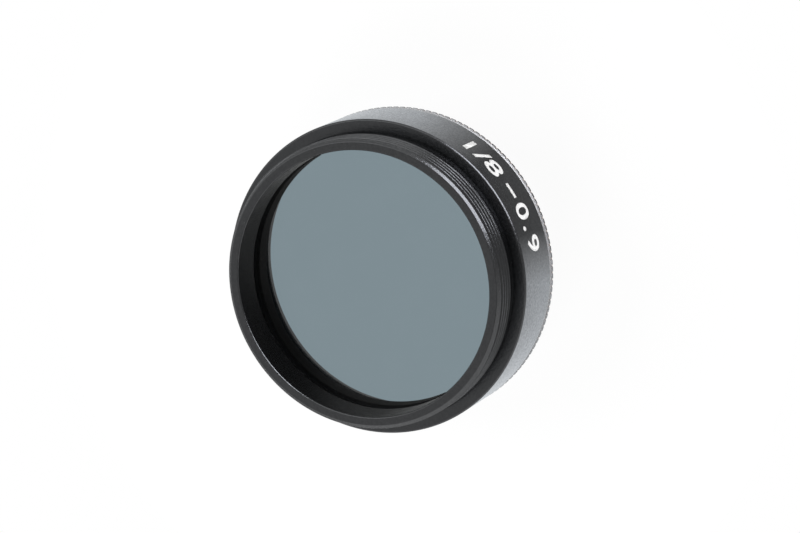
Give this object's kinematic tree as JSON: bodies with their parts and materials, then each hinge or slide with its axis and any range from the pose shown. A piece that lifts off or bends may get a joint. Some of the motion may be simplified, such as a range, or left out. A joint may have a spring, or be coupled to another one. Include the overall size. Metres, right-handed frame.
{
  "type": "neutral density filter",
  "caption": "Round screw-in neutral density filter: black anodised cell with a threaded neck, a knurled rim and a bright-cut groove, holding a grey glass disc by a slotted ring.",
  "frame": {"origin": "centre of the knurled rim's flat back end, on the optical axis", "axes": "+Z along the optical axis from the back rim towards the threaded neck; +X through the first spanner slot of the retaining ring"},
  "size_m": [0.031, 0.031, 0.0109],
  "materials": {
    "anodised_cell": "satin black anodised, with a bright-cut groove",
    "grey_glass": "polished neutral grey glass",
    "anodised_ring": "matt black anodised"
  },
  "bodies": {
    "root": {"filter_cell": "anodised_cell", "nd_glass": "grey_glass", "retaining_ring": "anodised_ring"}
  },
  "joints": []
}
